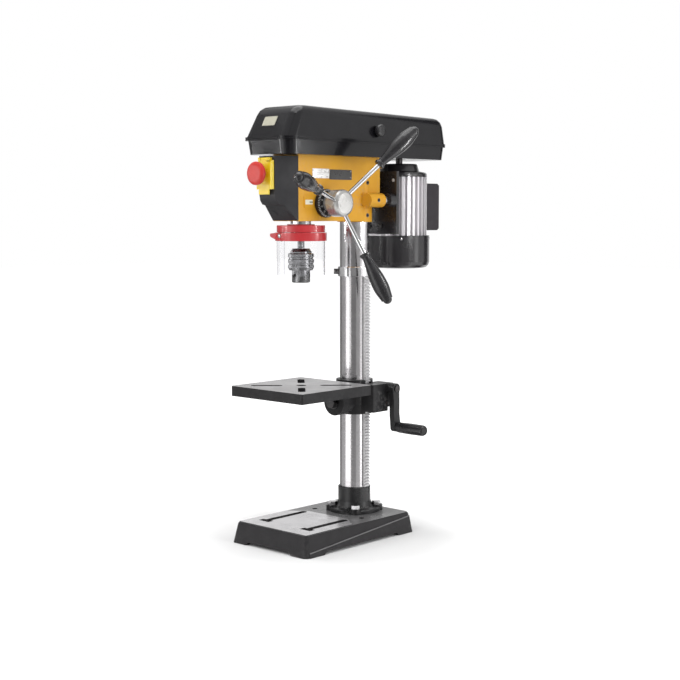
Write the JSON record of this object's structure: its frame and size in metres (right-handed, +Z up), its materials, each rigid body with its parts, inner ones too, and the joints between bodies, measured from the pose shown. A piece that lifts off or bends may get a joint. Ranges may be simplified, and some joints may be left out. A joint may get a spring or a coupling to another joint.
{
  "type": "drill press",
  "caption": "benchtop drill press with a yellow head, black belt cover, round column, crank-raised tilting table, spoked feed handle and a red chuck guard",
  "frame": {"origin": "on the bench surface, at the middle of the whole machine's plan box", "axes": "+Z up along the column, +Y from the operator to the motor behind, +X to the operator's right"},
  "size_m": [0.2652, 0.5686, 0.8522],
  "materials": {
    "charcoal_casting": "satin charcoal paint on cast iron, ground grey on top",
    "black_casting": "satin black paint on cast iron",
    "amber_paint": "satin amber-yellow paint on a casting",
    "black_paint": "semi-gloss black paint on sheet steel and castings",
    "black_plastic": "glossy black plastic",
    "red_plastic": "glossy red plastic",
    "yellow_plastic": "glossy yellow plastic",
    "green_plastic": "glossy green plastic",
    "clear_plastic": "clear polycarbonate",
    "polished_steel": "ground and polished steel",
    "tool_steel": "turned dark steel",
    "chrome_plate": "bright chrome plate",
    "bright_alloy": "bright cast aluminium",
    "dark_screws": "blackened steel",
    "belt_rubber": "matt black rubber",
    "wound_core": "lacquered laminations and copper winding"
  },
  "bodies": {
    "frame": {"base": "charcoal_casting", "column_flange": "black_casting", "flange_bolts": "polished_steel", "column": "polished_steel", "rack_ring": "bright_alloy", "set_screws": "dark_screws", "head_casting": "amber_paint", "front_housing": "black_plastic", "cover_screws": "dark_screws", "switch_box": "yellow_plastic", "cover_pan": "black_paint", "lid_hinge_pins": "polished_steel", "sleeve_bearings": "polished_steel", "spring_cup": "black_paint", "return_spring": "tool_steel", "drive_belt": "belt_rubber", "cable_gland": "black_plastic"},
    "quill_body": {"quill": "polished_steel", "quill_bearings": "polished_steel", "guard_holder": "red_plastic", "guard_hinge_pin": "dark_screws"},
    "guard_body": {"guard_band": "red_plastic", "guard_shield": "clear_plastic"},
    "spindle_body": {"spindle": "tool_steel", "chuck_body": "tool_steel"},
    "chuck_sleeve_body": {"chuck_sleeve": "tool_steel"},
    "jaw_a_body": {"jaw_a": "tool_steel"},
    "jaw_b_body": {"jaw_b": "tool_steel"},
    "jaw_c_body": {"jaw_c": "tool_steel"},
    "spindle_pulley_body": {"spindle_pulley": "bright_alloy"},
    "feed_body": {"pinion_shaft": "tool_steel", "feed_hub": "bright_alloy", "feed_spokes": "chrome_plate", "feed_grips": "black_plastic"},
    "depth_ring_body": {"depth_ring": "black_plastic"},
    "motor_group": {"motor_plate": "black_paint", "slide_rods": "polished_steel", "motor_body": "bright_alloy", "motor_top_bell": "black_paint", "motor_lower_bell": "black_paint", "motor_stator": "wound_core", "motor_bearings": "polished_steel", "motor_bolts": "dark_screws", "capacitor_box": "black_plastic"},
    "rotor_body": {"motor_rotor": "tool_steel", "motor_pulley": "bright_alloy"},
    "lid_body": {"cover_lid": "black_paint"},
    "lid_knob_body": {"lid_knob": "black_plastic"},
    "flap_body": {"switch_flap": "yellow_plastic"},
    "stop_body": {"stop_button": "red_plastic"},
    "start_body": {"start_button": "green_plastic"},
    "rack_body": {"rack": "polished_steel"},
    "bracket_body": {"table_bracket": "black_casting", "tilt_bolt": "polished_steel"},
    "lock_body": {"lock_lever": "black_plastic"},
    "table_pinion_body": {"table_pinion": "tool_steel"},
    "crank_body": {"crank_shaft": "polished_steel", "crank_arm": "black_plastic"},
    "crank_grip_body": {"crank_grip": "black_plastic"},
    "table_body": {"table": "charcoal_casting"}
  },
  "joints": [
    {"name": "feed_turn", "type": "hinge", "parent": "frame", "child": "feed_body", "pos_m": [0.0326, -0.08865, 0.6685], "axis": [1, 0, 0], "range_deg": [0, 286.4], "stiffness_Nm_per_rad": 0.2, "springref_deg": -171.89},
    {"name": "quill_feed", "type": "slide", "parent": "frame", "child": "quill_body", "axis": [0, 0, -1], "range_m": [0, 0.06]},
    {"name": "motor_spin", "type": "hinge", "parent": "motor_group", "child": "rotor_body", "pos_m": [-0.0274, 0.17435, 0.65], "axis": [0, 0, 1], "continuous": true},
    {"name": "pulley_spin", "type": "hinge", "parent": "frame", "child": "spindle_pulley_body", "pos_m": [-0.0274, -0.11865, 0.79], "axis": [0, 0, 1], "continuous": true},
    {"name": "spindle_spin", "type": "hinge", "parent": "quill_body", "child": "spindle_body", "pos_m": [-0.0274, -0.11865, 0.64], "axis": [0, 0, 1], "continuous": true},
    {"name": "motor_slide", "type": "slide", "parent": "frame", "child": "motor_group", "axis": [0, -1, 0], "range_m": [0, 0.012], "deforming": ["drive_belt"]},
    {"name": "lid_open", "type": "hinge", "parent": "frame", "child": "lid_body", "pos_m": [-0.0964, 0.03635, 0.79], "axis": [0, -1, 0], "range_deg": [0, 95]},
    {"name": "lid_latch", "type": "hinge", "parent": "lid_body", "child": "lid_knob_body", "pos_m": [0.0376, 0.03635, 0.812], "axis": [1, 0, 0], "range_deg": [0, 90]},
    {"name": "flap_open", "type": "hinge", "parent": "frame", "child": "flap_body", "pos_m": [-0.0274, -0.21615, 0.751], "axis": [-1, 0, 0], "range_deg": [0, 90]},
    {"name": "stop_press", "type": "slide", "parent": "flap_body", "child": "stop_body", "axis": [0, 1, 0], "range_m": [0, 0.004], "stiffness_N_per_m": 400, "springref_m": -0.002},
    {"name": "start_press", "type": "slide", "parent": "frame", "child": "start_body", "axis": [0, 1, 0], "range_m": [0, 0.004], "stiffness_N_per_m": 300, "springref_m": -0.002},
    {"name": "guard_swing", "type": "hinge", "parent": "quill_body", "child": "guard_body", "pos_m": [-0.0824, -0.11865, 0.604], "axis": [0, 0, -1], "range_deg": [0, 110]},
    {"name": "chuck_turn", "type": "hinge", "parent": "spindle_body", "child": "chuck_sleeve_body", "pos_m": [-0.0274, -0.11865, 0.555], "axis": [0, 0, 1], "range_deg": [0, 3240]},
    {"name": "jaw_a_slide", "type": "slide", "parent": "spindle_body", "child": "jaw_a_body", "axis": [0, -0.2419, -0.9703], "range_m": [0, 0.0281]},
    {"name": "jaw_b_slide", "type": "slide", "parent": "spindle_body", "child": "jaw_b_body", "axis": [0.2095, 0.121, -0.9703], "range_m": [0, 0.0281]},
    {"name": "jaw_c_slide", "type": "slide", "parent": "spindle_body", "child": "jaw_c_body", "axis": [-0.2095, 0.121, -0.9703], "range_m": [0, 0.0281]},
    {"name": "depth_ring_turn", "type": "hinge", "parent": "feed_body", "child": "depth_ring_body", "pos_m": [0.0126, -0.08865, 0.6685], "axis": [1, 0, 0], "range_deg": [-150, 150]},
    {"name": "table_swing", "type": "hinge", "parent": "frame", "child": "rack_body", "pos_m": [-0.0274, 0.03635, 0.3], "axis": [0, 0, 1], "continuous": true},
    {"name": "crank_turn", "type": "hinge", "parent": "bracket_body", "child": "crank_body", "pos_m": [0.0526, 0.06785, 0.296], "axis": [-1, 0, 0], "range_deg": [-6590, 8309]},
    {"name": "table_lift", "type": "slide", "parent": "rack_body", "child": "bracket_body", "axis": [0, 0, -1], "range_m": [-0.115, 0.145]},
    {"name": "pinion_turn", "type": "hinge", "parent": "bracket_body", "child": "table_pinion_body", "pos_m": [0.0206, 0.03635, 0.276], "axis": [0, 1, 0], "range_deg": [-549.5, 692.8]},
    {"name": "grip_spin", "type": "hinge", "parent": "crank_body", "child": "crank_grip_body", "pos_m": [0.0976, 0.06785, 0.218], "axis": [1, 0, 0], "continuous": true},
    {"name": "lock_turn", "type": "hinge", "parent": "bracket_body", "child": "lock_body", "pos_m": [-0.0274, 0.08435, 0.277], "axis": [1, 0, 0], "range_deg": [0, 70]},
    {"name": "table_tilt", "type": "hinge", "parent": "bracket_body", "child": "table_body", "pos_m": [-0.0274, -0.01665, 0.27], "axis": [0, 1, 0], "range_deg": [-45, 45]}
  ],
  "couplings": [
    {"joint": "quill_feed", "follows": "feed_turn", "m_per_rad": 0.012},
    {"joint": "pulley_spin", "follows": "motor_spin", "ratio": 1},
    {"joint": "spindle_spin", "follows": "motor_spin", "ratio": 1},
    {"joint": "jaw_a_slide", "follows": "chuck_turn", "m_per_rad": 0.00049515},
    {"joint": "jaw_b_slide", "follows": "chuck_turn", "m_per_rad": 0.00049515},
    {"joint": "jaw_c_slide", "follows": "chuck_turn", "m_per_rad": 0.00049515},
    {"joint": "crank_turn", "follows": "table_lift", "rad_per_m": 1000},
    {"joint": "pinion_turn", "follows": "table_lift", "rad_per_m": 83.333}
  ]
}
